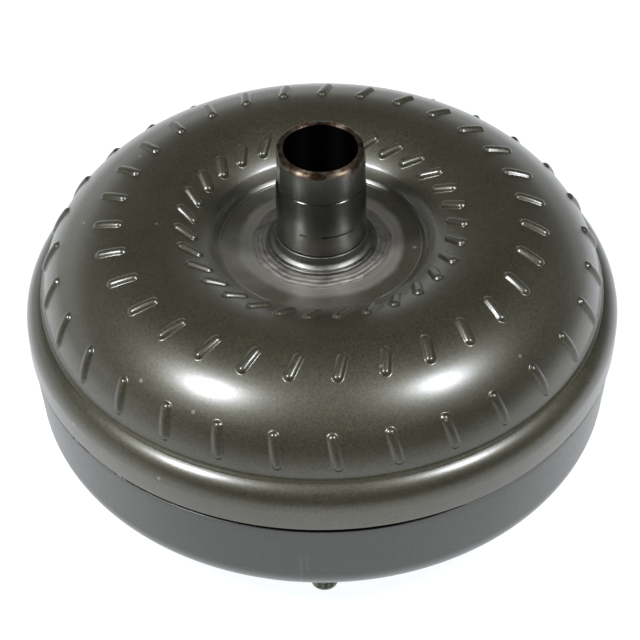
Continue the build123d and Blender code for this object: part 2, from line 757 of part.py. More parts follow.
with BuildPart() as stator_fan:
    blade_form = stator_blade()
    with PolarLocations(0, STATOR_BLADES):
        add(blade_form)

with BuildPart() as stator_wheel:
    revolve(
        polygon_section(
            (STATOR_HUB_R - 1, MID_Z - 12.5),
            (STATOR_SHROUD_R - 1, MID_Z - 7.0),
            (STATOR_SHROUD_R - 1, MID_Z + 7.0),
            (STATOR_HUB_R - 1, MID_Z + 12.5),
        ),
        axis=Axis.Z,
    )
    add(stator_fan.part, mode=Mode.INTERSECT)
    revolve(ring_section(CAM_R, STATOR_HUB_R, MID_Z - WHEEL_HALF, MID_Z + WHEEL_HALF), axis=Axis.Z)
    revolve(
        ring_section(STATOR_SHROUD_R - SHROUD_T, STATOR_SHROUD_R, MID_Z - SHROUD_HALF, MID_Z + SHROUD_HALF),
        axis=Axis.Z,
    )
    for low in (MID_Z + CLUTCH_HALF + CAP_T, MID_Z - CLUTCH_HALF - CAP_T - SNAP_T):
        revolve(ring_section(CAM_R - 1, CAM_R + 1.5, low, low + SNAP_T), axis=Axis.Z, mode=Mode.SUBTRACT)
finish(stator_wheel, "stator_wheel")

ROLLER_CIRCLE_R = RACE_R + ROLLER_R + 0.3
CAM_LAND_R = 32.4
with BuildSketch() as cam_pocket:
    with BuildLine():
        Polyline((30.0, -3.8), (34.6, -3.8), (35.4, 8.6), (30.0, 8.6), close=True)
    make_face()
with BuildPart() as clutch_cam_race:
    revolve(ring_section(CAM_LAND_R, CAM_R, MID_Z - CLUTCH_HALF, MID_Z + CLUTCH_HALF), axis=Axis.Z)
    with BuildSketch(Plane.XY.offset(MID_Z - CLUTCH_HALF)):
        with PolarLocations(0, ROLLER_COUNT):
            add(cam_pocket.sketch)
    extrude(amount=2 * CLUTCH_HALF, mode=Mode.SUBTRACT)
finish(clutch_cam_race, "clutch_cam_race")

with BuildPart() as clutch_rollers:
    with BuildSketch(Plane.XY.offset(MID_Z - CLUTCH_HALF + 0.2)):
        with PolarLocations(ROLLER_CIRCLE_R, ROLLER_COUNT):
            Circle(ROLLER_R)
    extrude(amount=2 * CLUTCH_HALF - 0.4)
finish(clutch_rollers, "clutch_rollers")

with BuildSketch() as spring_leaf:
    with BuildLine():
        Polyline(
            (31.0, 8.4), (31.0, 7.9), (33.6, 6.9), (31.0, 5.9), (33.6, 4.9), (31.6, 3.9), (31.6, 3.4),
            (34.5, 4.7), (34.5, 5.1), (31.9, 5.9), (34.5, 6.7), (34.5, 7.1), (32.0, 8.0), (32.0, 8.4),
            close=True,
        )
    make_face()
with BuildPart() as clutch_springs:
    with BuildSketch(Plane.XY.offset(MID_Z - CLUTCH_HALF + 3)):
        with PolarLocations(0, ROLLER_COUNT):
            add(spring_leaf.sketch)
    extrude(amount=2 * CLUTCH_HALF - 6)
finish(clutch_springs, "clutch_springs")

CAP_IN_R = RACE_R + 0.7
CAP_STEP_R = 41.0        # outside of the boss that carries the thrust bearing
cap_section = polygon_section(
    (CAP_IN_R, MID_Z + CLUTCH_HALF),
    (CAM_R, MID_Z + CLUTCH_HALF),
    (CAM_R, MID_Z + CLUTCH_HALF + CAP_T),
    (CAP_STEP_R, MID_Z + CLUTCH_HALF + CAP_T),
    (CAP_STEP_R, MID_Z + BEARING_SEAT),
    (CAP_IN_R, MID_Z + BEARING_SEAT),
)
with BuildPart() as stator_end_caps:
    revolve(cap_section, axis=Axis.Z)
    mirror(about=MIDDLE)
finish(stator_end_caps, "stator_end_caps")

with BuildPart() as stator_snap_rings:
    low = MID_Z + CLUTCH_HALF + CAP_T
    revolve(ring_section(CAM_R - 2, CAM_R + 1.5, low, low + SNAP_T), axis=Axis.Z)
    with Locations((CAM_R, 0, low + SNAP_T / 2)):
        Box(6, 8, SNAP_T, mode=Mode.SUBTRACT)
    mirror(about=MIDDLE)
finish(stator_snap_rings, "stator_snap_rings")

RACE_HALF = 12.2         # half length of the inner race
with BuildPart() as stator_inner_race:
    revolve(ring_section(0, RACE_R, MID_Z - RACE_HALF, MID_Z + RACE_HALF), axis=Axis.Z)
    with BuildSketch(Plane.XY.offset(MID_Z - RACE_HALF)):
        add(spline_bore(RACE_BORE_R, 1.0, 30))
    extrude(amount=2 * RACE_HALF, mode=Mode.SUBTRACT)
finish(stator_inner_race, "stator_inner_race")

# ---- thrust bearings: rear (above the stator) and front (below it) ----
BEARING_IN_R = 28.5
BEARING_OUT_R = 40.0
RACE_T = 1.0
CAGE_HALF = 0.8
NEEDLE_LENGTH = 8.0
NEEDLE_Z = MID_Z + BEARING_SEAT + 2.5


def bearing_race(low):
    with BuildPart() as race:
        revolve(ring_section(BEARING_IN_R, BEARING_OUT_R, low, low + RACE_T), axis=Axis.Z)
    return race.part


def bearing_cage():
    """Flat ring with a pocket for each needle."""
    with BuildPart() as cage:
        low = NEEDLE_Z - CAGE_HALF
        revolve(ring_section(BEARING_IN_R, BEARING_OUT_R, low, low + 2 * CAGE_HALF), axis=Axis.Z)
        with BuildSketch(Plane.XY.offset(low)):
            with PolarLocations((BEARING_IN_R + BEARING_OUT_R) / 2, NEEDLE_COUNT):
                Rectangle(NEEDLE_LENGTH + 0.4, 2 * NEEDLE_R + 0.2)
        extrude(amount=2 * CAGE_HALF, mode=Mode.SUBTRACT)
    return cage.part


def bearing_needles():
    with BuildPart() as needles:
        with PolarLocations((BEARING_IN_R + BEARING_OUT_R) / 2, NEEDLE_COUNT):
            with Locations((0, 0, NEEDLE_Z)):
                Cylinder(NEEDLE_R, NEEDLE_LENGTH, rotation=(0, 90, 0))
    return needles.part


bearing_pieces = {
    "bearing_outer_race": bearing_race(NEEDLE_Z + 1.5),
    "bearing_inner_race": bearing_race(NEEDLE_Z - 2.5),
    "bearing_cage": bearing_cage(),
    "bearing_needles": bearing_needles(),
}
for piece, form in bearing_pieces.items():
    with BuildPart() as rear_piece:
        add(form)
    finish(rear_piece, f"rear_{piece}")
    with BuildPart() as front_piece:
        add(mirror(form, about=MIDDLE, mode=Mode.PRIVATE))
    finish(front_piece, f"front_{piece}")
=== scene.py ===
from math import atan2, cos, degrees, pi, radians, sin, sqrt, tau

import bmesh
import bpy
import numpy as np
from mathutils import Euler, Matrix, Vector


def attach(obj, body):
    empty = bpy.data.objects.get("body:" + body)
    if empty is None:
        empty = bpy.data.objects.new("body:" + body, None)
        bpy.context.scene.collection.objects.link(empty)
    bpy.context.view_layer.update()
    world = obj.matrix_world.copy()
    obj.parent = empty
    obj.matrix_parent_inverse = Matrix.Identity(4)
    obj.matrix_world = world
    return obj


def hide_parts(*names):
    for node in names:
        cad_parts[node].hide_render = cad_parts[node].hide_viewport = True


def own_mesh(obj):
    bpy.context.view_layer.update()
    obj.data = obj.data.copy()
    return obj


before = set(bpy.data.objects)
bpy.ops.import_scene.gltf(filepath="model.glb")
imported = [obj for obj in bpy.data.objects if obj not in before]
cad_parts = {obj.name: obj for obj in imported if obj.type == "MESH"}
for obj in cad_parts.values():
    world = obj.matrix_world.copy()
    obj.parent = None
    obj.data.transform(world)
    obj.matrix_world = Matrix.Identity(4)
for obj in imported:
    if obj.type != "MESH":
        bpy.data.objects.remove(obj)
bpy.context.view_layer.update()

# A lock-up torque converter with its impeller upwards. The frame is in metres; the sizes named
# here are in millimetres and are scaled by MM where a mesh is made.

MM = 0.001

# ---- sizes ----
PLATE_Z = 121.0
TORUS_R, DOME_Z, DOME_R = 95.7, 79.9, 59.7
SHELL_T = 3.4
SKIRT_R = 160.4
SEAM_Z = 71.0
DOME_TURN, OUTER_R, OUTER_TURN = 42.0, 42.0, 12.0
LEDGE_IN = (151.9, 96.0)
SHOULDER_R, SHOULDER_TURN, SHOULDER_Z = 14.1, 62.0, 82.15
LIP_R = 156.4
MID_Z = 91.2
JOURNAL_R, HUB_BORE_R = 23.8, 19.3
HUB_TOP_Z = 184.8
FLAT_DIST, FLAT_Z, FLAT_TURN = 22.2, 160.3, radians(7.0)
FOOT_R = 29.4
NECK_FOOT_Z = 130.6
SPIGOT_R, HUB_FLANGE_R, HUB_FLANGE_Z = 22.6, 41.0, 111.0
COVER_Z, COVER_T = 13.4, 3.4
COVER_TOP_R, COVER_LOW_R, COVER_CORNER_R = 159.0, 156.8, 21.0
SEAM_PAINT_R = 158.2      # the groove's filling is painted outside this radius
PILOT_R, PILOT_Z, PILOT_RIM = 21.6, 1.2, 4.4
STUD_CIRCLE_R, STUD_R, STUD_SEAT_R, STUD_SEAT_Z = 133.35, 7.0, 9.0, 10.2
STUD_PITCH = 1.5
SPRING_CIRCLE_R, SPRING_Z, SPRING_R, SPRING_ARC, SPRING_COUNT = 84.0, 33.0, 8.0, radians(37.6), 6
BLADES = 31
STEP = tau / BLADES
BUMP_HALF = 2.9           # half width of a formed bump
BUMP_H = 1.7


# ---- mesh helpers ----
def new_object(name, verts, faces, body, stands_for=()):
    mesh = bpy.data.meshes.new(name)
    mesh.from_pydata(verts, [], faces)
    mesh.validate()
    mesh.update()
    mesh.polygons.foreach_set("use_smooth", [True] * len(mesh.polygons))
    piece = bpy.data.objects.new(name, mesh)
    bpy.context.scene.collection.objects.link(piece)
    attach(piece, body)
    if stands_for:
        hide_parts(*stands_for)
    return piece


def arc(centre, radius, start, end, count):
    """Points on an arc from angle start up to, but not including, end (degrees)."""
    angle = np.radians(start + (end - start) * np.arange(count) / count)
    return np.stack([centre[0] + radius * np.cos(angle), centre[1] + radius * np.sin(angle)], -1)


def rounded(corners, closed=True):
    """Outline through corners (r, z, radius), each rounded off by an arc of its radius."""
    count = len(corners)
    out = []
    for i, (r, z, radius) in enumerate(corners):
        here = np.array((r, z), float)
        if radius <= 0 or (not closed and i in (0, count - 1)):
            out.append(here)
            continue
        before = np.array(corners[i - 1][:2], float) - here
        after = np.array(corners[(i + 1) % count][:2], float) - here
        u, v = before / np.linalg.norm(before), after / np.linalg.norm(after)
        half = np.arccos(np.clip(u @ v, -1, 1)) / 2
        cut = radius / np.tan(half)
        steps = max(3, int((pi - 2 * half) / 0.2))
        centre = here + (u + v) / np.linalg.norm(u + v) * radius / np.sin(half)
        first = here + u * cut - centre
        last = here + v * cut - centre
        turn = np.arctan2(first[0] * last[1] - first[1] * last[0], first @ last)
        for k in range(steps + 1):
            a = turn * k / steps
            out.append(
                centre
                + (first[0] * cos(a) - first[1] * sin(a), first[0] * sin(a) + first[1] * cos(a))
            )
    return np.array(out)


def grid_faces(rows, columns, close_rows=True):
    """Quads of a grid whose columns close on themselves, and whose rows may."""
    i, j = np.meshgrid(np.arange(rows if close_rows else rows - 1), np.arange(columns), indexing="ij")
    i2, j2 = (i + 1) % rows, (j + 1) % columns
    corners = [i * columns + j, i * columns + j2, i2 * columns + j2, i2 * columns + j]
    return np.stack(corners, -1).reshape(-1, 4)


def tidy_mesh(piece, material=None):
    """Merges doubled points, turns the faces outwards and shades them smooth."""
    work = bmesh.new()
    work.from_mesh(piece.data)
    bmesh.ops.remove_doubles(work, verts=work.verts, dist=1e-7)
    bmesh.ops.recalc_face_normals(work, faces=work.faces)
    work.to_mesh(piece.data)
    work.free()
    piece.data.polygons.foreach_set("use_smooth", [True] * len(piece.data.polygons))
    if material:
        piece.data.materials.append(material)
    return piece


def lathe(name, outline, segments, body, stands_for=(), shape=None, material=None, spots=((0, 0),)):
    """Turned piece: a closed outline of (r, z) points swept round an upright axis at each spot.

    shape, if given, moves the points: it takes and returns arrays of r, angle and z."""
    outline = np.asarray(outline, float)
    count = len(outline)
    angle = np.arange(segments) * tau / segments
    r = np.repeat(outline[:, :1], segments, 1)
    z = np.repeat(outline[:, 1:], segments, 1)
    a = np.repeat(angle[None, :], count, 0)
    if shape:
        r, a, z = shape(r, a, z)
    one = np.stack([r * np.cos(a), r * np.sin(a), z], -1).reshape(-1, 3)
    quads = grid_faces(count, segments)
    points = np.concatenate([one + (x, y, 0) for x, y in spots]) * MM
    faces = np.concatenate([quads + k * len(one) for k in range(len(spots))])
    piece = new_object(name, points.tolist(), faces.tolist(), body, stands_for)
    return tidy_mesh(piece, material)


def smooth_by_angle(piece, limit=35):
    """Keeps edges sharper than the limit hard and shades the rest smooth."""
    work = bmesh.new()
    work.from_mesh(piece.data)
    for edge in work.edges:
        if len(edge.link_faces) == 2:
            edge.smooth = edge.calc_face_angle(0) < radians(limit)
    for face in work.faces:
        face.smooth = True
    work.to_mesh(piece.data)
    work.free()


def smoothstep(low, high, x):
    t = np.clip((x - low) / (high - low), 0, 1)
    return t * t * (3 - 2 * t)


# ---- materials ----
class Nodes:
    """Short way to build a node material around one Principled shader."""

    def __init__(self, name, metallic, roughness):
        self.material = bpy.data.materials.new(name)
        self.material.use_nodes = True
        self.tree = self.material.node_tree
        self.shader = self.tree.nodes["Principled BSDF"]
        self.shader.inputs["Metallic"].default_value = metallic
        self.shader.inputs["Roughness"].default_value = roughness
        self.place = self.tree.nodes.new("ShaderNodeTexCoord").outputs["Object"]

    def link(self, source, target):
        self.tree.links.new(source, target)

    def noise(self, scale, detail=2.0, stretch=None, source=None):
        """Noise texture; scale is in cells per metre."""
        place = source or self.place
        if stretch:
            mapping = self.tree.nodes.new("ShaderNodeMapping")
            mapping.inputs["Scale"].default_value = stretch
            self.link(place, mapping.inputs["Vector"])
            place = mapping.outputs["Vector"]
        texture = self.tree.nodes.new("ShaderNodeTexNoise")
        texture.inputs["Scale"].default_value = scale
        texture.inputs["Detail"].default_value = detail
        self.link(place, texture.inputs["Vector"])
        return texture.outputs["Fac"]

    def cells(self, scale, feature="F1"):
        texture = self.tree.nodes.new("ShaderNodeTexVoronoi")
        texture.feature = feature
        texture.inputs["Scale"].default_value = scale
        self.link(self.place, texture.inputs["Vector"])
        return texture

    def math(self, operation, a, b=None):
        node = self.tree.nodes.new("ShaderNodeMath")
        node.operation = operation
        for socket, value in zip(node.inputs, (a, b)):
            if value is None:
                continue
            if isinstance(value, (int, float)):
                socket.default_value = value
            else:
                self.link(value, socket)
        return node.outputs[0]

    def ramp(self, fac, stops):
        """Colours or values along fac: stops are (place, colour or value)."""
        node = self.tree.nodes.new("ShaderNodeValToRGB")
        elements = node.color_ramp.elements
        while len(elements) < len(stops):
            elements.new(0.5)
        for element, (place, colour) in zip(elements, stops):
            element.position = place
            element.color = (*colour, 1) if isinstance(colour, tuple) else (colour,) * 3 + (1,)
        self.link(fac, node.inputs["Fac"])
        return node.outputs["Color"]

    def mix(self, fac, a, b, blend="MIX"):
        node = self.tree.nodes.new("ShaderNodeMix")
        node.data_type = "RGBA"
        node.blend_type = blend
        for key, value in ((0, fac), (6, a), (7, b)):
            socket = node.inputs[key]
            if isinstance(value, (int, float)):
                socket.default_value = value
            elif isinstance(value, tuple):
                socket.default_value = (*value, 1)
            else:
                self.link(value, socket)
        return node.outputs[2]

    def radius(self):
        """Distance from the axis, in millimetres; x, y and height are kept in millimetres too."""
        parts = self.tree.nodes.new("ShaderNodeSeparateXYZ")
        self.link(self.place, parts.inputs[0])
        self.x, self.y, self.height = (self.math("MULTIPLY", parts.outputs[k], 1 / MM) for k in range(3))
        square = self.math(
            "ADD",
            self.math("MULTIPLY", parts.outputs[0], parts.outputs[0]),
            self.math("MULTIPLY", parts.outputs[1], parts.outputs[1]),
        )
        return self.math("MULTIPLY", self.math("SQRT", square), 1 / MM)

    def coat(self, weight, roughness, ior=1.5):
        self.shader.inputs["Coat Weight"].default_value = weight
        self.shader.inputs["Coat Roughness"].default_value = roughness
        self.shader.inputs["Coat IOR"].default_value = ior

    def turned(self, strength):
        """Stretches reflections across marks that run round the axis."""
        tangent = self.tree.nodes.new("ShaderNodeTangent")
        tangent.direction_type = "RADIAL"
        tangent.axis = "Z"
        self.link(tangent.outputs["Tangent"], self.shader.inputs["Tangent"])
        self.shader.inputs["Anisotropic"].default_value = strength
        self.shader.inputs["Anisotropic Rotation"].default_value = 0.25

    def specks(self, scale, size, share):
        """Scattered round marks: 1 on a mark, 0 elsewhere; share is how many cells have one."""
        cell = self.cells(scale)
        near = self.ramp(cell.outputs["Distance"], [(size * 0.6, 1.0), (size, 0.0)])
        drawn = self.math("FRACT", self.math("MULTIPLY", cell.outputs["Color"], 7.3))
        chosen = self.ramp(drawn, [(share, 1.0), (share + 0.01, 0.0)])
        return self.math("MULTIPLY", near, chosen)

    def colour(self, source):
        self.link(source, self.shader.inputs["Base Color"])

    def rough(self, source):
        self.link(source, self.shader.inputs["Roughness"])

    def bump(self, source, height, strength=1.0):
        """Bump of a height in millimetres, on top of any bump added before."""
        node = self.tree.nodes.new("ShaderNodeBump")
        node.inputs["Strength"].default_value = strength
        node.inputs["Distance"].default_value = height * MM
        self.link(source, node.inputs["Height"])
        target = self.shader.inputs["Normal"]
        if target.is_linked:
            self.link(target.links[0].from_socket, node.inputs["Normal"])
        self.link(node.outputs["Normal"], target)


def band(nodes, value, low, high, soft):
    """1 between low and high, falling to 0 over soft on either side."""
    rise = nodes.tree.nodes.new("ShaderNodeMapRange")
    fall = nodes.tree.nodes.new("ShaderNodeMapRange")
    for node, start, end in ((rise, low - soft, low), (fall, high + soft, high)):
        node.inputs["From Min"].default_value = start
        node.inputs["From Max"].default_value = end
        nodes.link(value, node.inputs["Value"])
    return nodes.math("MULTIPLY", rise.outputs[0], fall.outputs[0])


def paint(m, dark, light, grain, gloss):
    """Bronze-grey metallic paint: flake, slow changes of tone, a gloss coat and orange peel."""
    tone = m.ramp(m.noise(14, 3), [(0.3, dark), (0.7, light)])
    flake = m.ramp(m.cells(1500).outputs["Color"], [(0.2, 0.6), (0.9, 1.5)])
    tone = m.mix(grain, tone, flake, "MULTIPLY")
    m.coat(*gloss)
    m.bump(m.noise(620, 2), 0.030)
    m.bump(m.noise(2200, 2), 0.008)
    return tone


def case_paint():
    """Paint of the pressed shell, with bare heat-tinted steel and spatter near the hub weld."""
    m = Nodes("case_paint", 0.6, 0.46)
    tone = paint(m, (0.043, 0.038, 0.020), (0.063, 0.057, 0.033), 0.7, (1.0, 0.28, 1.62))
    r = m.radius()
    wander = m.math("MULTIPLY", m.math("SUBTRACT", m.noise(60, 4), 0.5), 6.0)
    ragged = m.math("ADD", r, wander)
    heat = band(m, ragged, 28.0, 42.0, 3.5)
    rings = m.noise(1.0, 3, source=m.math("MULTIPLY", r, 1.3))
    tints = [(0.3, (0.16, 0.150, 0.122)), (0.55, (0.29, 0.272, 0.230)), (0.75, (0.30, 0.262, 0.220))]
    tint = m.ramp(rings, tints)
    tone = m.mix(heat, tone, tint)
    dust = m.math("MULTIPLY", band(m, r, 28.0, 56.0, 8.0), m.ramp(m.noise(35, 4), [(0.3, 0.15), (0.7, 0.7)]))
    # The dust near the hub is real; its fade from strong on the left to faint on the right is painted light.
    painted_left_light = m.ramp(m.math("ADD", m.math("MULTIPLY", m.x, 0.01), 0.5), [(0.25, 1.0), (0.8, 0.35)])
    tone = m.mix(m.math("MULTIPLY", dust, painted_left_light), tone, (0.21, 0.200, 0.165))
    marks = m.specks(95, 0.13, 0.10)
    m.colour(m.mix(m.math("MULTIPLY", marks, 0.6), tone, (0.30, 0.29, 0.26)))
    m.rough(m.ramp(m.noise(900, 2), [(0.3, 0.42), (0.7, 0.54)]))
    return m.material


def cover_paint():
    """Same paint on the drawn cover, smoother, with two thin runs of paint down its front."""
    m = Nodes("cover_paint", 0.5, 0.4)
    tone = paint(m, (0.058, 0.058, 0.052), (0.068, 0.068, 0.062), 0.25, (0.3, 0.24))
    m.radius()
    front = band(m, m.y, -170.0, -150.0, 2.0)
    runs = 0
    for x, low, high in ((-11.8, 26.0, 49.0), (-8.6, 38.0, 50.0)):
        run = m.math("MULTIPLY", band(m, m.x, x - 0.3, x + 0.3, 0.9), band(m, m.height, low, high, 2.0))
        runs = m.math("ADD", runs, run)
    runs = m.math("MULTIPLY", runs, front)
    m.colour(m.mix(m.math("MULTIPLY", runs, 0.2), tone, (0.13, 0.13, 0.12)))
    m.rough(m.ramp(m.noise(500, 2), [(0.3, 0.30), (0.7, 0.38)]))
    m.bump(m.noise(45, 2), 0.08)
    m.bump(runs, 0.12)
    return m.material


def journal_steel():
    """Ground bare steel with turning lines, stains, dark wear marks, a rusty rim and painted shade: the bore
    is coloured near black.
    """
    m = Nodes("journal_steel", 1.0, 0.22)
    m.turned(0.85)
    r = m.radius()
    stain = m.noise(90, 5)
    steel = m.ramp(stain, [(0.35, (0.150, 0.147, 0.135)), (0.65, (0.225, 0.221, 0.208))])
    rusts = [(0.40, (0.070, 0.038, 0.022)), (0.52, (0.17, 0.130, 0.092)), (0.7, (0.30, 0.265, 0.210))]
    rust = m.ramp(m.noise(190, 4), rusts)
    top = m.math("ADD", m.height, m.math("MULTIPLY", m.math("SUBTRACT", m.noise(260, 4), 0.5), 3.5))
    edge = band(m, top, HUB_TOP_Z - 1.9, HUB_TOP_Z + 20, 0.5)
    upper = band(m, m.height, 172.0, HUB_TOP_Z, 5.0)
    spots = m.math("MULTIPLY", m.ramp(m.noise(260, 5), [(0.62, 0.0), (0.66, 0.9)]), upper)
    tone = m.mix(m.math("MAXIMUM", edge, spots), steel, rust)
    front = band(m, m.y, -26.0, -15.0, 1.0)
    wear = band(m, m.height, 143.7, 144.3, 0.25)
    sides = m.math("ADD", band(m, m.x, 1.5, 15.0, 3.0), band(m, m.x, -11.0, -8.0, 1.0))
    wear = m.math("MULTIPLY", m.math("MULTIPLY", wear, front), sides)
    tone = m.mix(wear, tone, (0.01, 0.01, 0.01))
    # Painted shade: the bore is coloured near black, standing in for the shade inside it.
    bore_painted_shade = band(m, r, 0.0, HUB_BORE_R + 0.15, 0.2)
    m.colour(m.mix(bore_painted_shade, tone, (0.004, 0.004, 0.004)))
    polish = m.ramp(stain, [(0.3, 0.26), (0.7, 0.19)])
    m.rough(m.mix(m.math("MAXIMUM", edge, bore_painted_shade), polish, (0.45, 0.45, 0.45)))
    m.bump(m.noise(1.0, 4, stretch=(30, 30, 9000)), 0.005)
    m.bump(wear, -0.1)
    return m.material


def plain_metal(name, colour, metallic=1.0, roughness=0.35, grain=(1, 1, 1), variation=0.25, size=400):
    """Metal with mottled colour, uneven roughness and a fine grain."""
    m = Nodes(name, metallic, roughness)
    low = tuple(c * (1 - variation) for c in colour)
    high = tuple(min(1, c * (1 + variation)) for c in colour)
    m.colour(m.ramp(m.noise(size / 8, 4), [(0.3, low), (0.7, high)]))
    m.rough(m.ramp(m.noise(size, 3), [(0.3, roughness * 0.8), (0.7, min(1, roughness * 1.25))]))
    m.bump(m.noise(size * 3, 3, stretch=grain), 0.02)
    return m.material


def weld_metal():
    """Rough fused metal, straw and brown from the heat."""
    m = Nodes("weld_metal", 0.9, 0.42)
    tints = [(0.3, (0.15, 0.138, 0.118)), (0.5, (0.24, 0.226, 0.200)), (0.7, (0.27, 0.235, 0.205))]
    m.colour(m.ramp(m.noise(130, 4), tints))
    m.rough(m.ramp(m.noise(600, 3), [(0.3, 0.42), (0.7, 0.62)]))
    m.bump(m.noise(900, 4), 0.06)
    return m.material


def groove_shade_and_paint():
    """Painted shade, near black, in the depth of the seam's groove; painted like the cover where it is
    filled.
    """
    m = Nodes("groove_shade_and_paint", 0.3, 0.6)
    filled = m.ramp(m.math("SUBTRACT", m.radius(), SEAM_PAINT_R), [(0.0, 0.0), (0.6, 1.0)])
    # Painted shade: the depth of the groove is coloured near black.
    painted_groove_shade = m.ramp(m.noise(700, 3), [(0.3, (0.004, 0.004, 0.004)), (0.7, (0.012, 0.010, 0.008))])
    m.colour(m.mix(filled, painted_groove_shade, (0.075, 0.075, 0.066)))
    m.rough(m.mix(filled, (0.8, 0.8, 0.8), (0.4, 0.4, 0.4)))
    m.bump(m.noise(700, 2), 0.05)
    return m.material


PAINT = case_paint()
COVER = cover_paint()
JOURNAL = journal_steel()
FOOT = plain_metal("hub_foot_steel", (0.175, 0.170, 0.152), 1.0, 0.40, (40, 40, 4000), 0.2)
WELD = weld_metal()
GROOVE = groove_shade_and_paint()
STUD = plain_metal("stud_zinc", (0.36, 0.38, 0.30), roughness=0.4)
SHEET = plain_metal("oiled_sheet", (0.42, 0.42, 0.40), roughness=0.33)
TURNED = plain_metal("turned_steel", (0.52, 0.52, 0.50), roughness=0.26, grain=(1, 1, 6))
DAMPER = plain_metal("damper_steel", (0.30, 0.30, 0.30), roughness=0.38)
SPRING = plain_metal("spring_steel", (0.16, 0.17, 0.20), roughness=0.3)
BEARING = plain_metal("bearing_steel", (0.60, 0.60, 0.60), roughness=0.14, variation=0.08)
ALLOY = plain_metal("cast_alloy", (0.62, 0.62, 0.60), roughness=0.5, size=700)
LINING = plain_metal("friction_paper", (0.16, 0.10, 0.055), metallic=0.0, roughness=0.85, size=1500)
POLYMER = plain_metal("thrust_polymer", (0.50, 0.40, 0.24), metallic=0.0, roughness=0.5, variation=0.1)

# ---- impeller shell ----
# The dome's section is an arc that tightens beyond DOME_TURN. Distances along it are measured in
# millimetres from the point where it would face straight outwards.
BUMP_RINGS = [            # radius and turn (degrees) of the inner and outer end of each bump
    ((68.4, 1.6), (75.2, -2.8)),
    ((107.4, -15.1), (117.8, -16.8)),
    ((142.3, -18.5), (148.9, -17.5)),
]
OUTER_CENTRE = (
    TORUS_R + (DOME_R - OUTER_R) * cos(radians(DOME_TURN)),
    DOME_Z + (DOME_R - OUTER_R) * sin(radians(DOME_TURN)),
)
TIGHT_R = OUTER_CENTRE[0] + OUTER_R * cos(radians(DOME_TURN))
SPARE = (DOME_R - OUTER_R) * radians(DOME_TURN)
RAMP_R = 60.0
RAMP_Z = DOME_Z + sqrt(DOME_R**2 - (RAMP_R - TORUS_R) ** 2)
SHELL_IN_R = DOME_R - SHELL_T
LEDGE_Z = MID_Z - 0.2


def section_place(r):
    """Distance along the dome's section at radius r."""
    if r < TIGHT_R:
        return DOME_R * np.arccos((r - TORUS_R) / DOME_R)
    return SPARE + OUTER_R * np.arccos((r - OUTER_CENTRE[0]) / OUTER_R)


def section_point(place):
    """Point (r, z) of the dome's section at a distance along it."""
    turn = place / DOME_R
    centre, radius = (TORUS_R, DOME_Z), DOME_R
    if turn < radians(DOME_TURN):
        turn, centre, radius = (place - SPARE) / OUTER_R, OUTER_CENTRE, OUTER_R
    return centre[0] + radius * cos(turn), centre[1] + radius * sin(turn)


def dome_bumps(r, a, z):
    """Raises the formed bumps along the dome's normal."""
    lift, out_r, out_z = np.zeros_like(r), np.zeros_like(r), np.zeros_like(r)
    place = np.full_like(r, -100.0)
    for (cr, cz), radius, low, high, spare in (
        ((TORUS_R, DOME_Z), DOME_R, DOME_TURN, 140.0, 0.0),
        (OUTER_CENTRE, OUTER_R, OUTER_TURN, DOME_TURN, SPARE),
    ):
        turn = np.arctan2(z - cz, r - cr)
        here = (np.abs(np.hypot(r - cr, z - cz) - radius) < 0.01)
        here &= (turn >= radians(low - 0.01)) & (turn <= radians(high))
        place = np.where(here, spare + radius * turn, place)
        out_r, out_z = np.where(here, np.cos(turn), out_r), np.where(here, np.sin(turn), out_z)
    for (r0, t0), (r1, t1) in BUMP_RINGS:
        middle_r = (r0 + r1) / 2
        start, end = section_place(r0), section_place(r1)
        across = (a - radians(t0 + t1) / 2 + STEP / 2) % STEP - STEP / 2
        p = np.stack([(start + end) / 2 - place, across * r], -1)
        half = np.array([(start - end) / 2, radians(t1 - t0) / 2 * middle_r])
        share = np.clip((p @ half) / (half @ half), -1, 1)
        away = np.linalg.norm(p - share[..., None] * half, axis=-1) / BUMP_HALF
        lift = np.maximum(lift, BUMP_H * np.clip(1 - away**2.4, 0, 1))
    return r + lift * out_r, a, z + lift * out_z


def dome_rows():
    """Rows down the dome, close together where the bumps are."""
    start, end = section_place(RAMP_R), SPARE + OUTER_R * radians(OUTER_TURN)
    near = [(section_place(r0) + 3.2, section_place(r1) - 3.2) for (r0, _), (r1, _) in BUMP_RINGS]
    place, rows = start, []
    while place > end + 0.6:
        rows.append(section_point(place))
        fine = any(low >= place - 1.9 and place > high for low, high in near)
        place -= 0.55 if fine else 1.9
    return np.array(rows)


